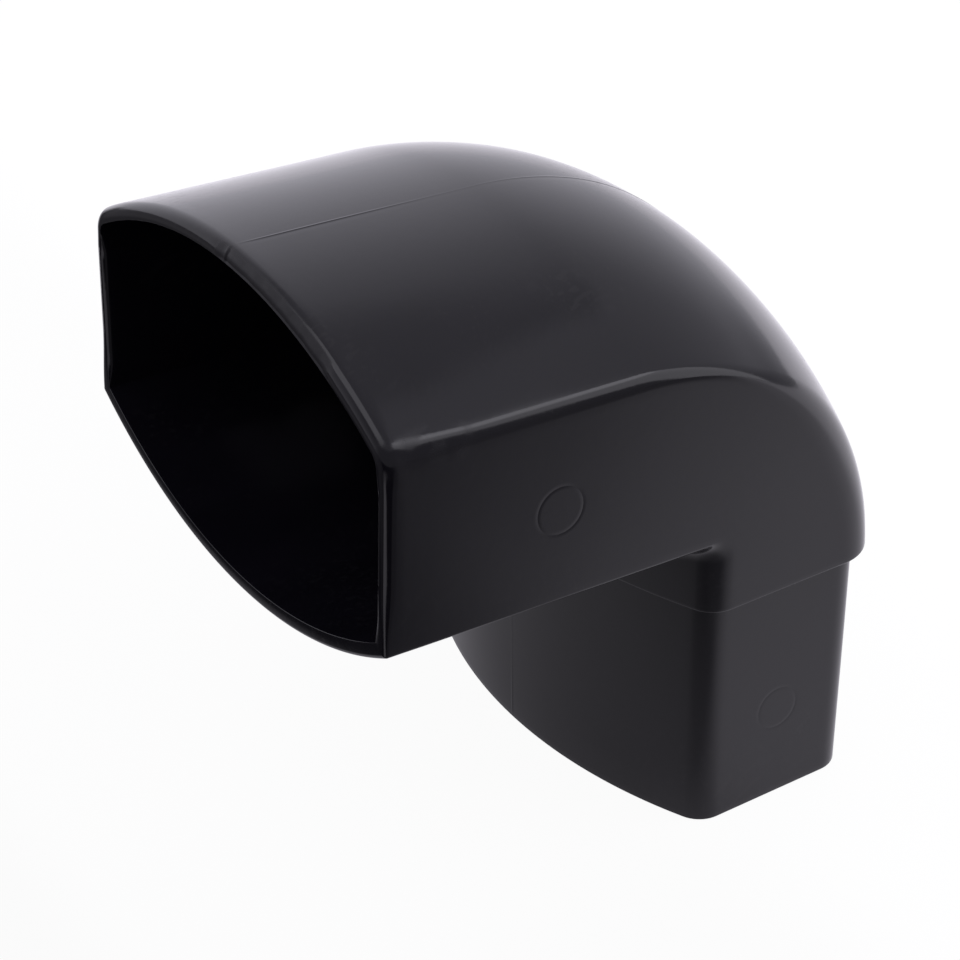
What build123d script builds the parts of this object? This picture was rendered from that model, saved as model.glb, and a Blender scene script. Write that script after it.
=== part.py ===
from build123d import *
from math import atan2, cos, pi, radians, sin, sqrt
import os

# Downpipe bend, moulded in one piece. All sizes are in millimetres.
# The outline of every section is a barrel: two flat sides joined by two shallow bows.
# Origin: centre of the spigot's end face. +Z is up along the spigot and +X runs across the flat sides.
# The socket opens towards -Y and rises a little, because the bend turns less than a square corner.

# Bend
bend_angle = 87.5         # turn from the socket's axis to the spigot's
hood_start = 34.7         # from the crossing of the two axes to where the hood starts to turn
wall = 2.8                # thickness of every wall

# Socket, outside
side_play = 1.3           # between a spigot's flat side and the inside of the socket
socket_flat = 35.1        # height of a flat side, measured to the bows
socket_rise = 13.75       # how far each bow stands out beyond the flat sides
socket_top_corner = 3.2   # rounding between flat side and upper bow
socket_low_corner = 1.0   # rounding between flat side and lower bow
socket_reach = 81.3       # from the crossing of the two axes to the mouth
rim_rounding = 1.5        # outer edge of the mouth

# Collar, the foot of the hood
collar_front = 2.65       # how far it stands out in front of the spigot's flat sides
collar_back = 0.2         # the same behind them
collar_bulge = 0.35       # how much more its bows rise than the spigot's
collar_back_corner = 9.2
collar_front_corner = 6.0
collar_height = 1.3       # at its front crest, below the socket's underside
collar_chamfer = 0.4      # edge of its foot, above the spigot
blend_start = 0.2         # share of the turn where the hood's section starts to change into the collar's
blend_end = 0.75          # share of the turn where it has changed

# Spigot, outside
spigot_width = 90.0
spigot_flat = 31.6
spigot_rise = 11.0
spigot_corner = 6.0
spigot_length = 49.0
spigot_draft = 0.2        # narrowing of each side, from the shoulder to the end, outside only
end_chamfer = 0.4         # outer edge of the spigot's end

# Fineness
least_corner = 0.6        # smallest rounding left where a wall's inside meets in a corner
edge_share = 0.9          # the most of a wall's thickness that a rounded or cut edge may take
stations = 8              # steps of the hood's section round its turn
core_share = 0.6          # share of the bend radius where the hood's sections begin, out of sight in the solid
core_belly = 1.25         # how much further out they begin half way round the turn
past = 2.0                # how far a cutting body runs past the face that it opens

# Worked out from the sizes above
half_width = spigot_width / 2 + side_play + wall
collar_rise = spigot_rise + collar_bulge
fall = radians(90 - bend_angle)
socket_crest = socket_flat / 2 + socket_rise
back_chord = spigot_flat / 2 + collar_back
front_chord = -spigot_flat / 2 - collar_front
front_crest = front_chord - collar_rise
crossing = spigot_length + collar_height + (socket_crest + front_crest * sin(fall)) / cos(fall)
# The line where the hood's flat side meets its bow is one arc, from the socket to the foot of the collar's back.
foot = (crossing - spigot_length) * cos(fall) - back_chord * sin(fall)
drop = socket_flat / 2 + foot
run = hood_start + back_chord * cos(fall) + (crossing - spigot_length) * sin(fall)
bend_radius = (drop**2 + run**2) / (2 * drop)
turn = atan2(run, bend_radius - drop) + past / bend_radius
turn_y = -hood_start * cos(fall) + (socket_flat / 2 - bend_radius) * sin(fall)
turn_z = crossing + hood_start * sin(fall) + (socket_flat / 2 - bend_radius) * cos(fall)
core = core_share * bend_radius


def bow_points(half, chord, rise, corner, inset):
    """Right half of a bow with its rounded corner: side, corner's middle, where they meet, crest."""
    radius = (half**2 + rise**2) / (2 * rise)
    centre = chord + rise - radius
    radius -= inset
    corner = max(corner - inset, least_corner)
    x = half - inset - corner
    y = centre + sqrt((radius - corner) ** 2 - x**2)
    lean = atan2(x, y - centre)
    middle = (lean + pi / 2) / 2
    return [
        (half - inset, y),
        (x + corner * sin(middle), y + corner * cos(middle)),
        (radius * sin(lean), centre + radius * cos(lean)),
        (0, centre + radius),
    ]


def bow_edges(points):
    """The three arcs of a bow, from the right side over the crest to the left side."""
    side, middle, meet, crest = points
    left = [(-x, y) for x, y in (side, middle, meet)]
    return [
        ThreePointArc(side, middle, meet),
        ThreePointArc(meet, crest, left[2]),
        ThreePointArc(left[2], left[1], left[0]),
    ]


def barrel(half, flat, rise, top_corner, low_corner, inset):
    """Whole section: a bow above, the same bow below, and the two flat sides."""
    top = bow_points(half, flat / 2, rise, top_corner, inset)
    low = [(x, -y) for x, y in bow_points(half, flat / 2, rise, low_corner, inset)]
    sides = [Line((x, low[0][1]), (x, top[0][1])) for x in (half - inset, inset - half)]
    return make_face(bow_edges(top) + bow_edges(low) + sides)


def part_barrel(half, flat, rise, corner, inset, level):
    """Lower part of a section, cut off straight at a level."""
    low = [(x, -y) for x, y in bow_points(half, flat / 2, rise, corner, inset)]
    right = (half - inset, level)
    left = (inset - half, level)
    lines = [Line(low[0], right), Line(right, left), Line(left, (left[0], low[0][1]))]
    return make_face(bow_edges(low) + lines)


def across_socket(distance):
    """Plane square to the socket's axis, at a distance from the crossing towards the mouth."""
    away = Vector(0, -cos(fall), sin(fall))
    return Plane(Vector(0, 0, crossing) + away * distance, x_dir=(1, 0, 0), z_dir=away)


def across_hood(share):
    """Plane through the turning axis; its y is the distance from that axis."""
    angle = fall + share * turn
    return Plane((0, turn_y, turn_z), x_dir=(1, 0, 0), z_dir=(0, -cos(angle), sin(angle)))


def socket_body(inset, mouth):
    """Straight socket, from the hood to its mouth."""
    section = barrel(half_width, socket_flat, socket_rise, socket_top_corner, socket_low_corner, inset)
    return extrude(across_socket(hood_start) * section, mouth - hood_start)


def hood_body(inset):
    """Curved hood: bows lofted round the turn, closed by flat sides and a flat base."""
    bows = []
    for step in range(stations + 1):
        share = step / stations
        blend = min(max((share - blend_start) / (blend_end - blend_start), 0), 1)
        blend = blend * blend * (3 - 2 * blend)
        rise = socket_rise + blend * (collar_rise - socket_rise)
        corner = socket_top_corner + blend * (collar_back_corner - socket_top_corner)
        points = bow_points(half_width, bend_radius, rise, corner, inset)
        bows.append(across_hood(share) * Wire(bow_edges(points)))
    skin = Shell.make_loft(bows)
    faces = list(skin.faces())
    x = half_width - inset
    base = [
        [across_hood(share).from_local_coords((side, reach * core)) for side in (x, -x)]
        for share, reach in ((0, 1), (0.5, core_belly), (1, 1))
    ]
    for side in (0, 1):
        edge = skin.edges().sort_by(Axis.X)[-1 if side == 0 else 0]
        start, end = sorted((edge @ 0, edge @ 1), key=lambda point: point.Y)
        outline = Polyline(end, *[pair[side] for pair in reversed(base)], start)
        faces.append(Face(Wire([edge] + outline.edges())))
    for bow, pair in ((bows[0], base[0]), (bows[-1], base[-1])):
        right, left = sorted((bow @ 0, bow @ 1), key=lambda point: -point.X)
        outline = Polyline(right, *pair, left)
        faces.append(Face(Wire(bow.edges() + outline.edges())))
    for near, far in zip(base, base[1:]):
        faces.append(Face(Wire.make_polygon([near[0], far[0], far[1], near[1]])))
    return Solid(Shell(faces))


def body(inset, mouth, floor):
    """Socket, hood and collar in one, shrunk by an inset, down to a floor."""
    under = part_barrel(
        half_width, socket_flat, socket_rise, socket_low_corner, inset, socket_flat / 2 - bend_radius + core
    )
    underside = extrude(across_socket(hood_start) * under, -core)
    middle = (front_chord + back_chord) / 2
    collar = part_barrel(
        half_width, back_chord - front_chord, collar_rise, collar_front_corner, inset, turn_y + core - middle
    )
    front = extrude(Pos(0, middle, floor) * collar, turn_z + core - floor)
    room = 8 * half_width     # wider than the whole bend
    above = Pos(0, 0, floor) * Box(room, room, room, align=(Align.CENTER, Align.CENTER, Align.MIN))
    hood = (hood_body(inset) + underside) & above
    return socket_body(inset, mouth) + hood + front


def spigot_section(inset, level):
    """Section of the spigot, in a level plane."""
    face = barrel(spigot_width / 2, spigot_flat, spigot_rise, spigot_corner, spigot_corner, inset)
    return Pos(0, 0, level) * face


def outside_body():
    """Everything outside, with its edges rounded."""
    spigot = loft([spigot_section(spigot_draft, 0), spigot_section(0, spigot_length)], ruled=True)
    shape = body(0, socket_reach, spigot_length) + spigot
    end, shoulder = shape.faces().filter_by(Plane.XY).sort_by(Axis.Z)[:2]
    shape = chamfer(end.edges(), min(end_chamfer, edge_share * wall))
    shape = chamfer(shoulder.outer_wire().edges(), collar_chamfer)
    mouth = across_socket(socket_reach)
    rim = shape.faces().sort_by(Axis(mouth.origin, mouth.z_dir))[-1].edges()
    return fillet(rim, min(rim_rounding, edge_share * wall))


outside = outside_body()
hollow = body(wall, socket_reach + past, spigot_length + wall)
bore = extrude(spigot_section(wall, -past), spigot_length + wall + 2 * past)
bend = outside - hollow - bore

os.makedirs("parts", exist_ok=True)
export_step(bend, "parts/downpipe_bend.step")
print("valid", bend.is_valid, "solids", len(bend.solids()), "faces", len(bend.faces()), "volume", round(bend.volume))
print("size", bend.bounding_box().size, "centre of mass", bend.center(CenterOf.MASS))
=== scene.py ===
# %% [markdown]
# # A downpipe bend
#
# The real object is one moulding of glossy black plastic: a wide socket, a curved hood, a short collar and a spigot.
# The imported model already has its size and place. Here the same form is made again as one closed mesh that is fine
# enough for long soft reflections, with the marks that the mould left on it.
#
# First the imported model is loaded. It gives the frame and the plain solid that the visual piece takes the place of.

# %% Load the frame
import bmesh
import bpy
import numpy as np
from math import atan2, cos, pi, radians, sin, sqrt, tan
from mathutils import Matrix, Vector


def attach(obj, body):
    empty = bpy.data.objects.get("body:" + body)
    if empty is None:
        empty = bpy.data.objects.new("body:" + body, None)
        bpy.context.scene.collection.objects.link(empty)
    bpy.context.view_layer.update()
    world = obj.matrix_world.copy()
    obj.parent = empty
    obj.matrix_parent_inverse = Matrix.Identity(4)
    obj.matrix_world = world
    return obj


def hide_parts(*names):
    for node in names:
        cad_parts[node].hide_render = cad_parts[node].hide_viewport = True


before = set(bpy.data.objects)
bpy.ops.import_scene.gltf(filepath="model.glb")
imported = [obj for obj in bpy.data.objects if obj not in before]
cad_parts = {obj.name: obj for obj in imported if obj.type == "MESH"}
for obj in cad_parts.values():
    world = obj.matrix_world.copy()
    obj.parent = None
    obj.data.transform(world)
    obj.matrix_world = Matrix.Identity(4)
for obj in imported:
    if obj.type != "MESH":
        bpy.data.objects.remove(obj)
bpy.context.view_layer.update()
scene = bpy.context.scene
MM = 0.001

# %% [markdown]
# ## Sizes
#
# Every section of the bend is a barrel: two flat sides and two shallow bows with rounded corners. A handful of
# sizes settles the whole outline. They are the real sizes in millimetres, and the mesh is scaled to metres when
# it is made.

# %% Driving sizes, in millimetres
BEND_ANGLE = 87.5
HOOD_START = 34.7         # from the crossing of the two axes to where the hood starts to turn
WALL = 2.8
SOCKET = {"half": 49.1, "flat": 35.1, "rise": 13.75, "top": 3.2, "low": 1.0, "reach": 81.3}
COLLAR = {"front": 2.65, "back": 0.2, "bulge": 0.35, "back_corner": 9.2, "front_corner": 6.0, "height": 1.3}
SPIGOT = {"half": 45.0, "flat": 31.6, "rise": 11.0, "corner": 6.0, "length": 49.0, "draft": 0.2}
BLEND = (0.2, 0.75)       # shares of the turn between which the hood's section becomes the collar's
PAST = 2.0                # how far the hood's turn is counted on past the foot of the collar
FOOT_ROUNDING = 0.4       # edge of the collar's foot
END_ROUNDING = 0.4        # outer edge of the spigot's end
BORE_EDGE = 0.1           # inner edge of the spigot's end
LEAST_CORNER = 0.6        # smallest rounding left where a wall's inside meets in a corner
SKIN = 0.08               # how far the outside stays within the imported solid, which is made of small flats
COVE = 2.5                # hollow rounding at the throat
COVE_AT_TIP = 4.6         # the same where the socket's lower edge runs out

fall = radians(90 - BEND_ANGLE)
reach = SOCKET["reach"] - SKIN
socket_crest = SOCKET["flat"] / 2 + SOCKET["rise"]
back_chord = SPIGOT["flat"] / 2 + COLLAR["back"]
front_chord = SPIGOT["flat"] / 2 + COLLAR["front"]
collar_rise = SPIGOT["rise"] + COLLAR["bulge"]
front_crest = front_chord + collar_rise
shoulder = SPIGOT["length"]
crossing = shoulder + COLLAR["height"] + (socket_crest - front_crest * sin(fall)) / cos(fall)
drop = SOCKET["flat"] / 2 + (crossing - shoulder) * cos(fall) - back_chord * sin(fall)
run = HOOD_START + back_chord * cos(fall) + (crossing - shoulder) * sin(fall)
bend_radius = (drop**2 + run**2) / (2 * drop)
whole_turn = atan2(run, bend_radius - drop) + PAST / bend_radius
turn_y = -HOOD_START * cos(fall) + (SOCKET["flat"] / 2 - bend_radius) * sin(fall)
turn_z = crossing + HOOD_START * sin(fall) + (SOCKET["flat"] / 2 - bend_radius) * cos(fall)
print("axes cross at", round(crossing, 2), "bend radius", round(bend_radius, 2))

# %% Sizes of the mouth's edges, in millimetres
RIM_TOP = 2.3             # rounding of the mouth's outer edge on the upper bow
RIM_SIDE = 2.0            # the same on the flat sides
RIM_LOW = 0.8             # the same on the lower bow, which is nearly sharp
RIM_TOP_ENDS = 0.1        # share of a flat side, from above, where the upper bow's rounding has gone over
RIM_LOW_STARTS = 0.6      # and where the lower bow's begins
LEAD_IN = (0.75, 2.8)     # rounding of a flat side's inner edge at the mouth: across the wall, along the socket
LEAD_IN_TOP = 0.05        # the same on the upper bow, where the film of plastic came in
LEAD_IN_LOW = 0.15        # and on the lower bow
LEAD_IN_FULL = (0.12, 0.85)  # shares of a flat side between which the inner rounding has its whole size
ROUNDER = 2.2             # how much rounder the upper corners get towards the mouth
ROUNDER_FROM = 18.0       # and from where, counted back from the mouth
print("mouth at", round(reach, 2), "from the crossing, outer edge", RIM_TOP, RIM_SIDE, RIM_LOW)

# %% [markdown]
# ## Points of a bow
#
# A bow is one large arc that runs into a small corner arc, which then runs into the flat side. The mesh needs
# the same number of points on every bow, so that each point of one section has its partner on the next. Points
# crowd together at the crest, because the mould's parting ridge runs there and is only a few tenths wide.

# %% Points of a bow
CREST_SHARES = [0, 0.0015, 0.003, 0.0045, 0.0065, 0.010, 0.018, 0.034]
BOW_FROM = 0.065          # share of the arc where the even steps begin
BOW_STEPS = 30
CORNER_STEPS = 10
bow_share = np.array(CREST_SHARES + list(np.linspace(BOW_FROM, 1, BOW_STEPS)))
corner_share = np.linspace(0, 1, CORNER_STEPS + 1)[1:]
BOW_COUNT = len(bow_share) + len(corner_share)


def bow_arcs(half, chord, rise, corner, inset):
    """Large arc and corner arc of a bow: radius and centre of each, and the lean where they meet."""
    radius = (half**2 + rise**2) / (2 * rise)
    centre = chord + rise - radius
    radius = radius - inset
    corner = max(corner - inset, LEAST_CORNER)
    corner_x = half - inset - corner
    corner_y = centre + sqrt((radius - corner) ** 2 - corner_x**2)
    return radius, centre, corner, corner_x, corner_y, atan2(corner_x, corner_y - centre)


def bow(half, chord, rise, corner, inset):
    """Points from the crest to the flat side: across, height, and the outward direction of each."""
    radius, centre, corner, corner_x, corner_y, lean = bow_arcs(half, chord, rise, corner, inset)
    arc = lean * bow_share
    turn = lean + (pi / 2 - lean) * corner_share
    x = np.concatenate([radius * np.sin(arc), corner_x + corner * np.sin(turn)])
    y = np.concatenate([centre + radius * np.cos(arc), corner_y + corner * np.cos(turn)])
    return x, y, np.concatenate([arc, turn])


def bow_height(x, half, chord, rise, corner, inset):
    """Height of the same bow at any distance across."""
    radius, centre, corner, corner_x, corner_y, lean = bow_arcs(half, chord, rise, corner, inset)
    on_bow = centre + np.sqrt(np.maximum(radius**2 - x**2, 0))
    on_corner = corner_y + np.sqrt(np.maximum(corner**2 - (x - corner_x) ** 2, 0))
    return np.where(x <= radius * sin(lean), on_bow, on_corner)


# Half width, height of the flat side's end, rise and corner of the bows that stay the same.
socket_low = (SOCKET["half"], SOCKET["flat"] / 2, SOCKET["rise"], SOCKET["low"])
collar_front = (SOCKET["half"], front_chord, collar_rise, COLLAR["front_corner"])
collar_back = (SOCKET["half"], back_chord, collar_rise, COLLAR["back_corner"])
spigot_bow = (SPIGOT["half"], SPIGOT["flat"] / 2, SPIGOT["rise"], SPIGOT["corner"])
print("points on a bow", BOW_COUNT)

# %% [markdown]
# ## Rows of the mesh
#
# The mesh is one grid, closed both ways. A row goes once round a section. The rows follow the plastic: from the
# rim along the outside of the socket, round the turn, over the collar's foot, down the spigot, round its end and
# back up through the inside. Each row is made for the right half only and mirrored later.
#
# A solid could be bent from a profile with a few modifiers instead. Rows that are worked out give every point
# its exact place, so the reflections run on from the socket into the hood without a seam.

# %% Half rows
SIDE_STEPS = 22
away = np.array([0, -cos(fall), sin(fall)])
upward = np.array([0, sin(fall), cos(fall)])
cross_point = np.array([0, 0, crossing])
side_share = np.linspace(0, 1, SIDE_STEPS + 1)[1:-1]


def smooth(share):
    """Eases a share from 0 to 1, level at both ends."""
    share = np.clip(share, 0, 1)
    return share * share * (3 - 2 * share)


def half_row(top, low):
    """Joins an upper and a lower half bow by the flat side, from the upper crest to the lower one."""
    side = top[-1] + (low[-1] - top[-1]) * side_share[:, None]
    return np.vstack([top, side, low[::-1]])


def row_values(top, side, low):
    """One value for each point of a half row: the same all over a bow, its own along the flat side."""
    return np.concatenate([np.full(BOW_COUNT, top), side, np.full(BOW_COUNT, low)])[:, None]


print("points in a half row", 2 * BOW_COUNT + len(side_share))

# %% Rows of the straight socket


def in_socket(x, height, distance):
    """Points of a section across the socket, in the part's frame."""
    points = cross_point + distance * away + np.outer(height, upward)
    points[:, 0] = x
    return points


def socket_top(distance, inset):
    """The upper bow, with corners that get rounder towards the mouth."""
    corner = SOCKET["top"] + ROUNDER * (1 - smooth((SOCKET["reach"] - distance) / ROUNDER_FROM))
    return bow(SOCKET["half"], SOCKET["flat"] / 2, SOCKET["rise"], corner, inset)


def socket_row(distance, inset):
    x, y, _ = socket_top(distance, inset)
    low_x, low_y, _ = bow(*socket_low, inset)
    return half_row(in_socket(x, y, distance), in_socket(low_x, -low_y, distance))


print("socket row at the mouth, crest at", np.round(socket_row(reach, SKIN)[0], 2))

# %% [markdown]
# ## The mouth's edges
#
# The outer edge of the mouth is well rounded above and at the sides and nearly sharp below. Inside, only the
# flat sides have a soft lead-in for the pipe. A bevel would give one width all round, so both edges are rows of
# a quarter turn whose size changes along the way.

# %% Rows of the mouth's edges


def rim_row(angle):
    """Mouth's outer edge: 0 on its end face, a quarter turn on the outside."""
    _, _, top = socket_top(reach, SKIN)
    _, _, low = bow(*socket_low, SKIN)
    right = np.array([1, 0, 0])
    out = half_row(
        np.outer(np.sin(top), right) + np.outer(np.cos(top), upward),
        np.outer(np.sin(low), right) - np.outer(np.cos(low), upward),
    )
    out[BOW_COUNT:-BOW_COUNT] = right
    still_top = 1 - smooth(side_share / RIM_TOP_ENDS)
    low_already = smooth((side_share - RIM_LOW_STARTS) / (1 - RIM_LOW_STARTS))
    along_side = RIM_SIDE + (RIM_TOP - RIM_SIDE) * still_top + (RIM_LOW - RIM_SIDE) * low_already
    size = row_values(RIM_TOP, along_side, RIM_LOW)
    return socket_row(reach, SKIN) - out * size * (1 - sin(angle)) - away * size * (1 - cos(angle))


def lead_in_size(whole):
    """Size of the inner rounding for each point of a half row."""
    sizes = [LEAD_IN_TOP, whole, whole, LEAD_IN_LOW]
    return row_values(LEAD_IN_TOP, np.interp(side_share, [0, *LEAD_IN_FULL, 1], sizes), LEAD_IN_LOW)


def lead_in_row(angle):
    """Mouth's inner edge: 0 on the inside, a quarter turn on the end face."""
    into_wall = socket_row(reach, WALL - LEAD_IN[0]) - socket_row(reach, WALL)
    wide = lead_in_size(LEAD_IN[0])
    wide[BOW_COUNT:-BOW_COUNT] /= LEAD_IN[0]
    deep = lead_in_size(LEAD_IN[1])
    return socket_row(reach, WALL) + into_wall * wide * (1 - cos(angle)) - away * deep * (1 - sin(angle))


print("outer edge from", np.round(rim_row(0)[0], 2), "to", np.round(rim_row(pi / 2)[0], 2))

# %% [markdown]
# ## The turn
#
# The turn needs care. The upper bow goes round an arc. The lower bow can't: there the socket's underside runs
# straight into the collar's front. So each point of the lower bow follows its own line, straight, round a small
# cove and straight down. The flat side between the two is drawn across from the upper line to the lower one.

# %% The upper bow round the turn


def hood_points(share, inset, floor):
    """The upper half bow at a share of the way round the turn; its last one lies level on the floor."""
    _, from_axis, _ = bow(SOCKET["half"], bend_radius, collar_rise, COLLAR["back_corner"], inset)
    last = pi / 2 - fall - np.arcsin((floor - turn_z) / from_axis)
    points = np.zeros((BOW_COUNT, 3))
    for i, angle in enumerate(share * last):
        blend = smooth((angle / whole_turn - BLEND[0]) / (BLEND[1] - BLEND[0]))
        rise = SOCKET["rise"] + blend * (collar_rise - SOCKET["rise"])
        corner = SOCKET["top"] + blend * (COLLAR["back_corner"] - SOCKET["top"])
        x, from_axis, _ = bow(SOCKET["half"], bend_radius, rise, corner, inset)
        lean = fall + angle
        points[i] = (x[i], turn_y + from_axis[i] * sin(lean), turn_z + from_axis[i] * cos(lean))
    return points


print("hood's highest point", round(float(hood_points(0, SKIN, shoulder)[0, 2]), 2))

# %% The lower bow from the socket's underside to the collar's front
TURN_ROWS = 64
LINE_SHARE = 0.40         # of the rows, for the underside's straight run
COVE_SHARE = 0.62         # of the rows, where the cove ends
INNER_COVE = 0.6          # rounding of the same edge inside
EASE = 2.0                # room between the edge and the floor at which the cove has half its size
INNER_EASE = 1.0          # the same inside
LEAST_ROOM = 0.05


def cove_radius(x, room, inset):
    if inset > WALL / 2:
        return INNER_COVE * room / (room + INNER_EASE)
    to_tip = smooth((x - SOCKET["half"] + COLLAR["front_corner"]) / COLLAR["front_corner"])
    return (COVE + to_tip * (COVE_AT_TIP - COVE)) * room / (room + EASE)


def throat_points(share, inset, floor):
    """The lower half bow at a share of the way from the hood's start to the floor."""
    socket_x, _, _ = bow(*socket_low, inset)
    collar_x, _, _ = bow(*collar_front, inset)
    x = socket_x + smooth(share / LINE_SHARE) * (collar_x - socket_x)
    under = bow_height(x, *socket_low, inset)
    front = bow_height(x, *collar_front, inset)
    meet = (front - under * sin(fall)) / cos(fall)
    meet_z = crossing + meet * sin(fall) - under * cos(fall)
    radius = cove_radius(x, np.maximum(meet_z - floor, LEAST_ROOM), inset)
    turn = radians(BEND_ANGLE)
    tangent = radius * tan(turn / 2)
    points = np.zeros((BOW_COUNT, 3))
    points[:, 0] = x
    if share <= LINE_SHARE:
        distance = HOOD_START + (meet + tangent - HOOD_START) * (share / LINE_SHARE)
        points[:, 1] = -distance * cos(fall) - under * sin(fall)
        points[:, 2] = crossing + distance * sin(fall) - under * cos(fall)
    elif share <= COVE_SHARE:
        lean = fall + turn * (share - LINE_SHARE) / (COVE_SHARE - LINE_SHARE)
        centre_y = -(meet + tangent) * cos(fall) - (under + radius) * sin(fall)
        centre_z = crossing + (meet + tangent) * sin(fall) - (under + radius) * cos(fall)
        points[:, 1] = centre_y + radius * sin(lean)
        points[:, 2] = centre_z + radius * cos(lean)
    else:
        start = meet_z - tangent
        points[:, 1] = -front
        points[:, 2] = start + (floor - start) * (share - COVE_SHARE) / (1 - COVE_SHARE)
    return points


def turn_row(share, inset, floor):
    return half_row(hood_points(share, inset, floor), throat_points(share, inset, floor))


print("rows round the turn", TURN_ROWS)

# %% [markdown]
# ## Collar's foot and spigot
#
# The spigot, the collar's foot and the spigot's end are level sections. Their edges are small quarter rounds:
# the section shrinks by a cosine while it moves down by a sine. Stacking sections is the plainest way to make a
# straight pipe, and its rows follow on from those of the turn.

# %% Rows of level sections


def level_row(z, front, back, inset):
    """A level section from the bows at its back and at its front."""
    x, y, _ = bow(*back, inset)
    low_x, low_y, _ = bow(*front, inset)
    top = np.column_stack([x, y, np.full(BOW_COUNT, z)])
    low = np.column_stack([low_x, -low_y, np.full(BOW_COUNT, z)])
    return half_row(top, low)


def collar_row(z, inset):
    return level_row(z, collar_front, collar_back, inset)


def spigot_row(z, inset):
    """The spigot narrows towards its end, but only outside."""
    narrower = SPIGOT["draft"] * (1 - z / shoulder) if inset < WALL / 2 else 0
    return level_row(z, spigot_bow, spigot_bow, inset + narrower)


def quarter(steps):
    return [pi / 2 * (k / steps) for k in range(steps + 1)]


def spread(low, high, steps, crowd):
    """Values from low to high; crowd draws them towards both ends."""
    share = np.linspace(0, 1, steps + 1)
    share = (1 - crowd) * share + crowd * smooth(share)
    return list(low + (high - low) * share)


print("spigot's end, half width", round(float(spigot_row(0, SKIN)[:, 0].max()), 2))

# %% [markdown]
# ## All rows in order
#
# The order is that of a walk over the plastic, so that each row is joined to the one before it. The first row of
# each stretch is noted by name, because the marks further on need to know where the outside begins and ends.

# %% The outside, from the mouth to the spigot's end
UNDER_SHOULDER = (0.3, 0.8)   # the first rows below the shoulder, which keep that edge crisp
first_row = {}
rows = [rim_row(angle) for angle in quarter(10)]
first_row["socket"] = len(rows)
rows += [socket_row(distance, SKIN) for distance in spread(reach - RIM_TOP, HOOD_START, 28, crowd=0.2)[1:]]
first_row["turn"] = len(rows)
outer_floor = shoulder + FOOT_ROUNDING
rows += [turn_row(k / TURN_ROWS, SKIN, outer_floor) for k in range(1, TURN_ROWS + 1)]
for angle in quarter(4)[1:]:
    rows.append(collar_row(shoulder + FOOT_ROUNDING * (1 - sin(angle)), SKIN + FOOT_ROUNDING * (1 - cos(angle))))
first_row["spigot"] = len(rows)
rows.append(0.5 * (rows[-1] + spigot_row(shoulder, SKIN)))
crisp, start = (shoulder - down for down in UNDER_SHOULDER)
rows += [spigot_row(z, SKIN) for z in [shoulder, crisp] + spread(start, END_ROUNDING, 26, crowd=0.35)]
for angle in quarter(4)[1:]:
    rows.append(spigot_row(END_ROUNDING * (1 - sin(angle)), SKIN + END_ROUNDING * (1 - cos(angle))))
print("rows outside", len(rows))

# %% The spigot's end ring and the inside, back to the mouth
BEFORE_LEAD_IN = 0.5          # a last plain row of the inside, before the mouth's inner edge
first_row["end"] = len(rows)
rows.append(0.5 * (spigot_row(0, END_ROUNDING) + spigot_row(0, WALL - BORE_EDGE)))
for angle in quarter(3):
    rows.append(spigot_row(BORE_EDGE * (1 - cos(angle)), WALL - BORE_EDGE * (1 - sin(angle))))
inner_floor = shoulder + WALL
rows += [spigot_row(z, WALL) for z in spread(BORE_EDGE, inner_floor, 12, crowd=0.3)[1:]]
rows.append(0.5 * (rows[-1] + collar_row(inner_floor, WALL)))
inner_rows = TURN_ROWS // 2
rows += [turn_row(k / inner_rows, WALL, inner_floor) for k in range(inner_rows, -1, -1)]
last_plain = reach - LEAD_IN[1] - BEFORE_LEAD_IN
rows += [socket_row(distance, WALL) for distance in spread(HOOD_START, last_plain, 18, crowd=0.35)[1:]]
rows += [lead_in_row(angle) for angle in quarter(8)]
first_row["rim_face"] = len(rows)
rows.append(0.5 * (rows[-1] + rows[0]))
print("rows", len(rows), "points in a half row", len(rows[0]))

# %% [markdown]
# ## What the mould left behind
#
# Four things show on the real surface. A hair-thin ridge runs along the middle, where the two halves of the mould
# met. The long faces have soft, shallow ripples from shrinking. The upper corners beside the mouth are a little
# uneven. On the mouth's upper edge the plastic came in through a wide film, which was trimmed by hand and left a
# slightly lower, ragged strip. All of them are heights of a few hundredths or tenths of a millimetre along the
# outward direction of each point. A bump in the material could fake them, but only real heights are part of the mesh.

# %% Whole loops and their outward directions
grid = np.array(rows)
half_count = grid.shape[1]
loop = np.concatenate([grid, grid[:, -2:0:-1] * [-1, 1, 1]], axis=1)
row_count, column_count = loop.shape[:2]
along = np.roll(loop, -1, axis=0) - np.roll(loop, 1, axis=0)
across = np.roll(loop, -1, axis=1) - np.roll(loop, 1, axis=1)
outward = np.cross(along, across)
outward /= np.maximum(np.linalg.norm(outward, axis=2, keepdims=True), 1e-9)
if outward[first_row["turn"] - 1, 0, 2] < 0:
    outward = -outward
print("loops", row_count, "points in a loop", column_count)

# %% Parting ridge
RIDGE = 0.055             # its height
RIDGE_WIDTH = 0.17        # half its width
DIP = {"share": 0.35, "at": 0.5, "width": 0.22}   # the shallow dip beside it, to the right
LOWER_RIDGE = 0.6         # how much higher it is below the shoulder
x, y, z = (loop[:, :, i] for i in range(3))
outer = np.zeros((row_count, 1))
outer[first_row["socket"] : first_row["end"]] = 1
from_mouth = reach - ((z - crossing) * sin(fall) - y * cos(fall))
ridge = np.exp(-((x / RIDGE_WIDTH) ** 2)) - DIP["share"] * np.exp(-(((x - DIP["at"]) / DIP["width"]) ** 2))
fade = smooth((from_mouth - 1) / 6) * (0.6 + 0.4 * np.sin(y / 9 + z / 13))
fade = fade * (1 + LOWER_RIDGE * (z < shoulder))
height_of = RIDGE * ridge * fade * outer * smooth(z / 2)
print("ridge up to", round(float(height_of.max()), 3))

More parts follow.
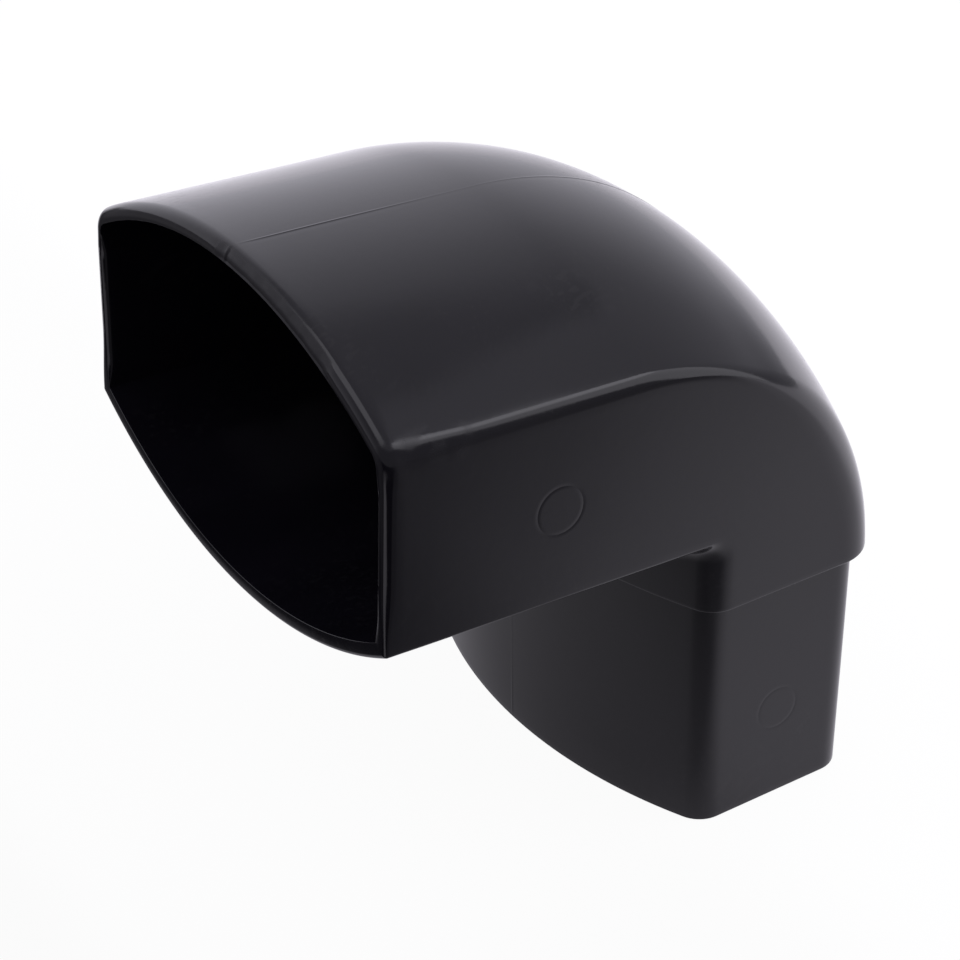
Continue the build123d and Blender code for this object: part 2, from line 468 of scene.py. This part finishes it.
# %% Ripples and uneven corners
RIPPLE = 0.026            # height of the ripples
UNEVEN = {"height": 0.02, "at": 47.2, "width": 1.6, "length": 11.0}   # strip along an upper corner, by the mouth
# The waves below have lengths that don't divide each other, so that no pattern repeats.
swell = np.sin(x / 7.1 + y / 15 + 0.4) * np.sin(y / 9.3 - z / 17 + 1.1)
swell = swell + 0.7 * np.sin(x / 12.7 - y / 21 + z / 11 + 2.0)
height_of += RIPPLE * swell * outer * smooth((from_mouth - 2) / 6) * smooth(z / 3)
strip = np.exp(-(((np.abs(x) - UNEVEN["at"]) / UNEVEN["width"]) ** 2)) * (z > crossing)
strip = strip * np.clip(1 - from_mouth / UNEVEN["length"], 0, 1) * outer
height_of += UNEVEN["height"] * strip * (np.sin(y * 2.3 + 1) + np.sin(y * 3.9 + z * 2))
print("ripples up to", round(float((RIPPLE * np.abs(swell)).max()), 3))

# %% Trimmed film gate
GATE = 0.3                # depth of the trimmed strip
GATE_FROM = -3.2          # its left end, across the mouth
GATE_TO = 31.8            # its right end
GATE_FADE = 0.8           # length in which each end runs out
GATE_ROWS = 6             # rows of the rim's rounding that it takes in; the next one is half as deep
in_gate = smooth((x - GATE_FROM) / GATE_FADE) * smooth((GATE_TO - x) / GATE_FADE) * (z > crossing)
ragged = 0.75 + 0.25 * np.sin(x * 2.1) * np.sin(x * 0.83 + 1.2) + 0.2 * np.sin(x * 5.3)
trim = np.zeros((row_count, 1))
trim[:GATE_ROWS] = 1
trim[GATE_ROWS] = 0.5
trim[first_row["rim_face"] :] = 1
height_of -= GATE * in_gate * ragged * trim
loop = loop + outward * height_of[:, :, None]
print("highest", round(float(height_of.max()), 3), "lowest", round(float(height_of.min()), 3))

# %% [markdown]
# ## Round marks
#
# On the near flat sides of the socket and of the spigot the mould left a fine round line each, perhaps from a
# pin or a plug in the steel. Neighbouring loops are joined by four-sided faces, and the last loop joins the first. For a
# mark, a square of faces is taken out and filled with circles that share the square's border. A line drawn on
# the square grid would be a staircase; this one is truly round.

# %% Faces between the loops
points = loop.reshape(-1, 3).tolist()
faces = {}
for r in range(row_count):
    for c in range(column_count):
        after_r, after_c = (r + 1) % row_count, (c + 1) % column_count
        corners = [(r, c), (r, after_c), (after_r, after_c), (after_r, c)]
        faces[r, c] = [row * column_count + column for row, column in corners]
extra = []
print("faces", len(faces))

# %% Cut the round marks
MARK_GROOVE = 0.02        # depth of a mark's line
MARK_LINE = 0.15          # from the line's middle to its edge
MARK_BOTTOM = 0.06        # from its middle to the edge of its bottom
MARK_LEVEL = 0.7          # from its middle to the next level circle on each side
MARK_INNER = (0.62, 0.34)  # shares of the radius, for the circles further in
MARK_ROOM = 1.3           # from the line to the border of the square, at least


def square_around(first, last, centre, half_size):
    """First and last row and column of a square of faces on the right flat side."""
    near = [
        (r, c)
        for r in range(first, last)
        for c in range(BOW_COUNT, half_count - BOW_COUNT)
        if max(abs(loop[r, c, 1] - centre[0]), abs(loop[r, c, 2] - centre[1])) < half_size
    ]
    near_rows, near_columns = zip(*near)
    return min(near_rows) - 1, max(near_rows) + 1, min(near_columns) - 1, max(near_columns) + 1


def round_mark(first, last, centre, diameter):
    """Cuts a fine round groove into the right flat side, around a centre given as (y, z)."""
    radius = diameter / 2
    r0, r1, c0, c1 = square_around(first, last, centre, radius + MARK_ROOM)
    border = [(r0, c) for c in range(c0, c1)] + [(r, c1) for r in range(r0, r1)]
    border += [(r1, c) for c in range(c1, c0, -1)] + [(r, c0) for r in range(r1, r0, -1)]
    for r in range(r0, r1):
        for c in range(c0, c1):
            del faces[r, c]
    ring = [r * column_count + c for r, c in border]
    outline = np.array([points[i] for i in ring])
    flat = np.polyfit(outline[:, 2], outline[:, 0], 1)
    angles = np.arctan2(outline[:, 2] - centre[1], outline[:, 1] - centre[0])
    circles = [(radius + MARK_LEVEL, 0), (radius + MARK_LINE, 0)]
    circles += [(radius + MARK_BOTTOM, -MARK_GROOVE), (radius - MARK_BOTTOM, -MARK_GROOVE)]
    circles += [(radius - MARK_LINE, 0), (radius - MARK_LEVEL, 0)]
    circles += [(radius * share, 0) for share in MARK_INNER]
    for size, depth in circles:
        new = list(range(len(points), len(points) + len(angles)))
        for angle in angles:
            mark_y, mark_z = centre[0] + size * cos(angle), centre[1] + size * sin(angle)
            points.append([float(np.polyval(flat, mark_z)) + depth, mark_y, mark_z])
        for k in range(len(ring)):
            j = (k + 1) % len(ring)
            extra.append([ring[k], ring[j], new[j], new[k]])
        ring = new
    middle = len(points)
    points.append([float(np.polyval(flat, centre[1])), centre[0], centre[1]])
    for k in range(len(ring)):
        extra.append([ring[k], ring[(k + 1) % len(ring)], middle])
    print("round mark", diameter, "border points", len(angles))


round_mark(first_row["socket"], first_row["turn"], (-49.65, 81.7), 8.6)
round_mark(first_row["spigot"] + 3, first_row["end"] - 5, (0.3, 19.5), 8.5)

# %% [markdown]
# ## The bend itself
#
# The real bend is one piece, so the points and faces become one closed mesh. Its normals are turned outwards
# and every face is shaded smooth, because the plastic has no sharp facets and its few crisp edges are real
# small roundings. The count of open edges shows whether the skin is closed.

# %% Make the bend
every_face = list(faces.values()) + extra
used = sorted({i for face in every_face for i in face})
number = {old: new for new, old in enumerate(used)}
mesh = bpy.data.meshes.new("downpipe_bend_shell")
mesh.from_pydata(
    [[value * MM for value in points[i]] for i in used], [], [[number[i] for i in face] for face in every_face]
)
mesh.validate()
mesh.update()
bend = bpy.data.objects.new("bend_shell", mesh)
scene.collection.objects.link(bend)
skin = bmesh.new()
skin.from_mesh(mesh)
bmesh.ops.recalc_face_normals(skin, faces=skin.faces)
open_edges = sum(1 for edge in skin.edges if not edge.is_manifold)
volume = skin.calc_volume(signed=True) / MM**3
skin.to_mesh(mesh)
skin.free()
mesh.polygons.foreach_set("use_smooth", [True] * len(mesh.polygons))
print("vertices", len(mesh.vertices), "faces", len(mesh.polygons), "open edges", open_edges, "volume", round(volume))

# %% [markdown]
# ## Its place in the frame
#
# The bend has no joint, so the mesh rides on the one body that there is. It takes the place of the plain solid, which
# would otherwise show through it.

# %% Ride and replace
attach(bend, "root")
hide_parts("downpipe_bend")
print(bend.name, "rides on root and replaces downpipe_bend")

# %% [markdown]
# ## A short way to write shader maths
#
# A shader is a net of nodes, but sums are easier to read as sums. One small class wraps a socket and turns the
# usual signs into Math nodes. Every other node comes from one method, which takes the node's type, its settings
# and its inputs.

# %% Nodes


class Net:
    """The nodes of one material or of the world."""

    def __init__(self, owner):
        owner.use_nodes = True
        self.tree = owner.node_tree
        self.tree.nodes.clear()

    def node(self, kind, settings=None, **inputs):
        """Adds a node; the keys of inputs are socket names, with _ for a space, or n and a number."""
        node = self.tree.nodes.new(kind)
        for name, value in (settings or {}).items():
            setattr(node, name, value)
        for name, value in inputs.items():
            key = int(name[1:]) if name[0] == "n" and name[1:].isdigit() else name.replace("_", " ")
            if isinstance(value, Signal):
                self.tree.links.new(value.socket, node.inputs[key])
            else:
                node.inputs[key].default_value = value
        return node

    def signal(self, kind, out, settings=None, **inputs):
        """Adds a node and gives one of its outputs."""
        return Signal(self, self.node(kind, settings, **inputs).outputs[out])


# %% Sums of sockets


class Signal:
    """A socket that can be added, multiplied and so on."""

    def __init__(self, net, socket):
        self.net = net
        self.socket = socket

    def maths(self, operation, first, second):
        return self.net.signal("ShaderNodeMath", 0, {"operation": operation}, n0=first, n1=second)

    def __add__(self, other):
        return self.maths("ADD", self, other)

    __radd__ = __add__

    def __sub__(self, other):
        return self.maths("SUBTRACT", self, other)

    def __rsub__(self, other):
        return self.maths("SUBTRACT", other, self)

    def __mul__(self, other):
        return self.maths("MULTIPLY", self, other)

    __rmul__ = __mul__

    def most(self, other):
        return self.maths("MAXIMUM", self, other)

    def rise(self, low, high, start=0.0, end=1.0):
        """Goes smoothly from start to end while the value goes from low to high."""
        ends = {"From_Min": low, "From_Max": high, "To_Min": start, "To_Max": end}
        return self.net.signal("ShaderNodeMapRange", 0, {"interpolation_type": "SMOOTHSTEP"}, Value=self, **ends)

    def band(self, start, full, fading, gone):
        """One between full and fading, running out smoothly on both sides."""
        return self.rise(start, full) * self.rise(fading, gone, 1, 0)


def reach_along(vector, axis):
    """How far a vector reaches along an axis."""
    return vector.net.signal("ShaderNodeVectorMath", "Value", {"operation": "DOT_PRODUCT"}, n0=vector, n1=tuple(axis))


def scaled(vector, factor):
    return vector.net.signal("ShaderNodeVectorMath", 0, {"operation": "SCALE"}, n0=vector, Scale=factor)


def mixed_colour(share, first, second):
    """Goes from the first colour to the second; colours are sockets 6 and 7 of a Mix node."""
    return share.net.signal("ShaderNodeMix", 2, {"data_type": "RGBA"}, n0=share, n6=first, n7=second)


print("shader maths ready")

# %% [markdown]
# ## Black plastic
#
# The moulding is black all through and glossy, as it comes from a polished steel mould. Its colour hardly varies:
# soot in the plastic lies in faint clouds drawn out along the flow. The gloss varies more. Some patches are a bit
# duller, thin scuffs from packing and handling cross the surface, and specks of dust lie on it. All of it is
# noise that is worked out from the place on the object, so it has no seams, and it goes with the object when
# that is turned.

# %% Soft noise
material = bpy.data.materials.new("black_plastic")
net = Net(material)
place = net.signal("ShaderNodeTexCoord", "Object")


def clouds(size, stretch=(1, 1, 1), turned=(0, 0, 0), detail=0.0):
    """Soft noise around one half; size is that of one cloud in millimetres."""
    drawn_out = {"Rotation": turned, "Scale": stretch}
    placed = net.signal("ShaderNodeMapping", 0, {"vector_type": "TEXTURE"}, Vector=place, **drawn_out)
    return net.signal("ShaderNodeTexNoise", 0, Vector=placed, Scale=1000 / size, Detail=detail, Roughness=0.5)


print("noise is placed by", place.socket.name)

# %% Clouds, scuffs and dust
BLACK_DEEP = (0.0056, 0.005, 0.0082, 1)
BLACK_SOOTY = (0.0075, 0.0066, 0.0106, 1)
BLACK_WORN = (0.022, 0.021, 0.024, 1)
soot = clouds(14, stretch=(1, 2.6, 2.6), detail=2.0).rise(0.3, 0.7)
dull = clouds(22, detail=2.0).rise(0.5, 0.72)
scuff_one = clouds(1.1, stretch=(1, 26, 1), turned=(0.5, 0.2, 0.3)).rise(0.66, 0.74)
scuff_two = clouds(0.9, stretch=(1, 1, 22), turned=(0.35, 0.5, 0.1)).rise(0.67, 0.75)
scuffs = scuff_one.most(scuff_two) * clouds(30, detail=1.0).rise(0.45, 0.7)
dust = clouds(0.55).rise(0.74, 0.8) * clouds(17, detail=1.0).rise(0.5, 0.65)
plain = mixed_colour(soot, BLACK_DEEP, BLACK_SOOTY)
colour = mixed_colour((scuffs * 0.35).most(dust * 0.5), plain, BLACK_WORN)
print("nodes for the colour", len(net.tree.nodes))

# %% [markdown]
# ## Two dull places
#
# The knife that trimmed the film gate left a dull, rough strip on the rim, and the upper corner beside the mouth
# is rubbed. Both are masks in millimetres along the bend's own directions. The strip takes its ends from the
# sizes of the gate, so that the finish stays on the shape.

# %% Masks of the dull places, in millimetres
GATE_ON_RIM = (79.7, 80.4)     # along the socket: the strip starts here
UPPER_HALF = (90.0, 94.0)      # and lies above this height
RUBBED_FROM = (64.5, 68.0)     # along the socket: the rubbed corner starts here
CORNER_ACROSS = (44.0, 46.5)   # it lies on the corner's rounding, from here outwards
CORNER_UP = (96.2, 98.5)       # and from here upwards
place_mm = scaled(place, 1 / MM)
across_bend = net.signal("ShaderNodeSeparateXYZ", "X", Vector=place_mm)
level_up = net.signal("ShaderNodeSeparateXYZ", "Z", Vector=place_mm)
to_mouth = reach_along(place_mm, away) - crossing * sin(fall)
gate_ends = [end + side * GATE_FADE / 2 for end in (GATE_FROM, GATE_TO) for side in (-1, 1)]
trimmed = to_mouth.rise(*GATE_ON_RIM) * across_bend.band(*gate_ends) * level_up.rise(*UPPER_HALF)
rounding = across_bend.rise(*CORNER_ACROSS) * level_up.rise(*CORNER_UP)
rubbed = to_mouth.rise(*RUBBED_FROM) * rounding * clouds(3.2, detail=1.0).rise(0.4, 0.6)
print("trimmed strip from", round(gate_ends[0], 2), "to", round(gate_ends[-1], 2))

# %% [markdown]
# ## Gloss and grain
#
# A fine grain breaks up the mirror images, as on all moulded plastic. It is a bump of a few thousandths of a
# millimetre, too low to be worth real points. Roughness starts at that of the clean plastic, and each mask adds
# its share.

# %% Gloss, grain and the shader
CLEAN_GLOSS = 0.098
GRAIN_HEIGHT = 0.006 * MM
ROUGH_TRIM = 7                 # how much higher the grain is on the trimmed strip
gloss = CLEAN_GLOSS + 0.022 * soot + 0.035 * dull + 0.06 * scuffs + 0.09 * dust + 0.26 * trimmed + 0.15 * rubbed
grain = clouds(1.6, detail=1.0) * (1 + ROUGH_TRIM * trimmed) + 0.5 * clouds(5.5)
bump = net.signal("ShaderNodeBump", 0, Strength=1.0, Distance=GRAIN_HEIGHT, Height=grain)
plastic = net.signal("ShaderNodeBsdfPrincipled", 0, Base_Color=colour, Roughness=gloss, IOR=1.5, Normal=bump)
net.node("ShaderNodeOutputMaterial", Surface=plastic)
mesh.materials.append(material)
print("nodes in the plastic", len(net.tree.nodes))

# %% [markdown]
# ## The studio
#
# Black gloss shows little colour of its own. What the eye sees is the room: a white one behind the bend and to
# its left, a dim one on the camera's side, and an overhead panel that is brighter at the back. The camera itself
# sees plain white wherever there is no bend. The room could be built from walls and cards. A gradient over the
# directions does the same with fewer parts and without noise in the shadows.

# %% Room
SIDE_LEVEL = 0.24              # brightness of the wall on the camera's side
WALL_STEP = 0.38               # how much brighter it gets in each of two steps towards the back wall
BACK_WALL, DOORWAY, PANEL = 245, 180, 150      # azimuths; 0 is where the socket opens and 90 is +X
ROOM_COLOUR = (0.985, 0.965, 1.07, 1)
WHITE = (1, 1, 1, 1)
world = bpy.data.worlds.new("studio")
scene.world = world
net = Net(world)
direction = net.signal("ShaderNodeTexCoord", "Generated")


def towards(azimuth):
    """How much a direction points to an azimuth."""
    return reach_along(direction, (sin(radians(azimuth)), -cos(radians(azimuth)), 0))


height = net.signal("ShaderNodeSeparateXYZ", "Z", Vector=direction)
to_back = towards(BACK_WALL)
wall = SIDE_LEVEL + to_back.rise(-0.25, 0.2, 0, WALL_STEP) + to_back.rise(0.55, 0.97, 0, WALL_STEP)
doorway = towards(DOORWAY).rise(0.86, 0.97) * height.rise(0.1, 0.3, 1, 0)
wall = wall * (1 - 0.35 * doorway)
panel = towards(PANEL).rise(0.36, 0.42, 0.44, 0.63)
ceiling = height.rise(0.71, 0.81)
light = wall * (1 - ceiling) + panel * ceiling
seen = net.signal("ShaderNodeLightPath", "Is Camera Ray")
room = net.signal("ShaderNodeBackground", 0, Color=ROOM_COLOUR, Strength=seen + light * (1 - seen))
plain_white = net.signal("ShaderNodeBackground", 0, Color=WHITE, Strength=1.0)
both = net.signal("ShaderNodeMixShader", 0, Fac=seen, n1=room, n2=plain_white)
net.node("ShaderNodeOutputWorld", Surface=both)
print("nodes in the room", len(net.tree.nodes))

# %% [markdown]
# ## Floor
#
# To the camera the floor is pale paper, white but for the bend's faint shadow. Its grey, which sets how much light it
# throws back, is pale under the bend and darker further out; that darkening is painted shade, with a painted shadow
# of the socket in it. What the plastic mirrors of it is another matter. Glossy black shows a floor mostly as a
# reflection, and in the photo that reflection has dark and bright fields: a dim sheet under the bend, a bright card
# in front of the mouth, and dark surroundings. On this floor those fields are painted light and painted shade.
#
# So the floor has a second brightness, for mirrored rays only. Its zones were placed until the greys of the sides and
# of the spigot came close to the photo's. They fit that one view. The photo can't tell whether they are right from
# any other side. Real cards on the floor would do the same, but the camera would see them.

# %% Floor and its two coordinates
bpy.ops.mesh.primitive_plane_add(size=6, location=(0, 0, -0.0001))
floor = bpy.context.object
floor.name = "floor"
paper = bpy.data.materials.new("floor_white")
net = Net(paper)
seen = net.signal("ShaderNodeLightPath", "Is Camera Ray")
mirrored = net.signal("ShaderNodeLightPath", "Is Glossy Ray").most(
    net.signal("ShaderNodeLightPath", "Is Transmission Ray")
)
spot = net.signal("ShaderNodeNewGeometry", "Position")
sideways = net.signal("ShaderNodeSeparateXYZ", "X", Vector=spot)
lengthways = net.signal("ShaderNodeSeparateXYZ", "Y", Vector=spot)
NEAR_SIDE = (0.762, -0.648, 0)   # level direction to the near right, across the floor
forward = reach_along(spot, NEAR_SIDE)
print("floor", floor.dimensions.x, "m wide, its top at", round(floor.location.z, 4))

# %% Mirrored zones of painted light and shade, in metres on the floor
# Painted shadow of the socket, about half as bright under it, and painted shade, none at all, further in front of the
# mouth.
under = lengthways.rise(-0.13, -0.11, 0, 0.55) + lengthways.rise(-0.035, 0.005, 0, 0.45)
# Painted shadow under the bend's right side.
painted_shadow_by_corner = sideways.band(0.035, 0.06, 0.09, 0.11) * lengthways.rise(-0.03, -0.005, 1, 0)
# A painted pool of light: full near the bend, falling to a quarter towards the near right, with the painted shadows
# above in it.
painted_light_and_shade = forward.rise(0.045, 0.15, 1, 0.26) * under * (1 - 0.25 * painted_shadow_by_corner)
# Painted light, brighter on the far side of the bend.
behind = forward.rise(-0.09, -0.01, 1.35, 0.86)
# A painted bright card in front of the mouth: a patch of floor that glows.
painted_bright_card = lengthways.band(-0.31, -0.29, -0.135, -0.12) * sideways.band(0.052, 0.062, 0.118, 0.128)
# Faint painted light, far to the left in front of the bend and far in front of it.
far_left = sideways.rise(-0.19, -0.09, 0.09, 0) * lengthways.rise(-0.12, -0.10, 1, 0)
far_front = lengthways.rise(-0.225, -0.2, 0.12, 0) * sideways.rise(0.03, 0.05, 1, 0)
# All of these glow for mirrored rays only.
mirror_light = mirrored * (painted_light_and_shade * behind + painted_bright_card + far_left + far_front)
print("nodes for the zones", len(net.tree.nodes))

# %% Paper
SEEN_LIGHT = 1.06              # lifts the lit paper to white for the camera
SEEN_SHARE = 0.9               # share of that light; the rest is lit paper, which keeps the shadow
MIRRORED_SHARE = 0.7
# Greys of the paper: the lower one is painted shade, the higher one the lit paper.
PAINTED_SHADE_GREY = (0.15, 0.15, 0.15, 1)
LIT_PAPER_GREY = (0.85, 0.85, 0.85, 1)
MIRROR_TINT = (1, 0.965, 1.06, 1)
# The lit paper's grey follows the same painted light and shade as the mirrored zones.
lit = net.signal("ShaderNodeBsdfDiffuse", 0, Color=mixed_colour(painted_light_and_shade, PAINTED_SHADE_GREY, LIT_PAPER_GREY))
tint = scaled(mixed_colour(seen, MIRROR_TINT, WHITE), seen * SEEN_LIGHT + mirror_light)
glow = net.signal("ShaderNodeEmission", 0, Color=tint, Strength=1.0)
share = seen * SEEN_SHARE + mirrored * MIRRORED_SHARE
net.node("ShaderNodeOutputMaterial", Surface=net.signal("ShaderNodeMixShader", 0, Fac=share, n1=lit, n2=glow))
floor.data.materials.append(paper)
print("nodes in the paper", len(net.tree.nodes))

# %% [markdown]
# ## Lamps
#
# Three soft boxes give the long pale reflections: a tall window of light behind and to the right, a small box
# above it for the streak on the hood, and a wide one over the mouth. Area lamps are right for this, because their
# mirror images have the shape of real boxes. Each is as bright per area as it says, so that its size changes the
# light and not the level.

# %% Lamps
LAMP_COLOUR = (1, 0.985, 1.06)
LOOK_AT = Vector((0, -0.03, 0.08))


def soft_box(name, azimuth, elevation, distance, width, height, brightness):
    """A lamp that looks at the bend; azimuth 0 is where the socket opens and 90 is +X."""
    data = bpy.data.lights.new(name, "AREA")
    data.shape = "RECTANGLE"
    data.size = width
    data.size_y = height
    data.energy = brightness * pi * width * height
    data.color = LAMP_COLOUR
    lamp = bpy.data.objects.new(name, data)
    scene.collection.objects.link(lamp)
    a, e = radians(azimuth), radians(elevation)
    out = Vector((sin(a) * cos(e), -cos(a) * cos(e), sin(e)))
    lamp.location = LOOK_AT + out * distance
    lamp.rotation_euler = out.to_track_quat("Z", "Y").to_euler()
    lamp.visible_camera = False


soft_box("window", 140, 30, 1.2, 0.6, 1.4, 1.15)
soft_box("high_box", 147, 54, 1.15, 0.34, 0.26, 0.8)
soft_box("top_box", 345, 60, 1.0, 0.62, 0.56, 0.85)

# %% [markdown]
# ## Camera
#
# The photo was taken from the right, about a third of the way up, with a long lens. The camera's place was fitted
# together with the main sizes to the outline of the bend and to the edges that the photo shows, which is why its
# numbers aren't round. It is tilted by less than a degree.

# %% Camera
VIEW = {"azimuth": 57.519, "elevation": 32.4, "roll": -0.749}   # degrees
AIM = (-1.795, -31.969, 54.257)    # millimetres
DISTANCE = 0.443                   # metres
camera_data = bpy.data.cameras.new("camera")
camera = bpy.data.objects.new("camera", camera_data)
scene.collection.objects.link(camera)
scene.camera = camera
azimuth, elevation, roll = (radians(VIEW[name]) for name in ("azimuth", "elevation", "roll"))
back = Vector((sin(azimuth) * cos(elevation), -cos(azimuth) * cos(elevation), sin(elevation)))
level = Vector((cos(azimuth), sin(azimuth), 0))
right = cos(roll) * level + sin(roll) * back.cross(level)
turned = Matrix((right, back.cross(right), back)).transposed()
camera.matrix_world = Matrix.Translation(Vector(AIM) * MM + back * DISTANCE) @ turned.to_4x4()
camera_data.sensor_width = 36
camera_data.lens = 93.449
camera_data.clip_start = 0.01
print("camera at", [round(c, 4) for c in camera.matrix_world.translation])

# %% [markdown]
# ## Last setting
#
# The render's colours go through the standard view transform. The bend must not reach past them anywhere.

# %% Finish
scene.view_settings.view_transform = "Standard"
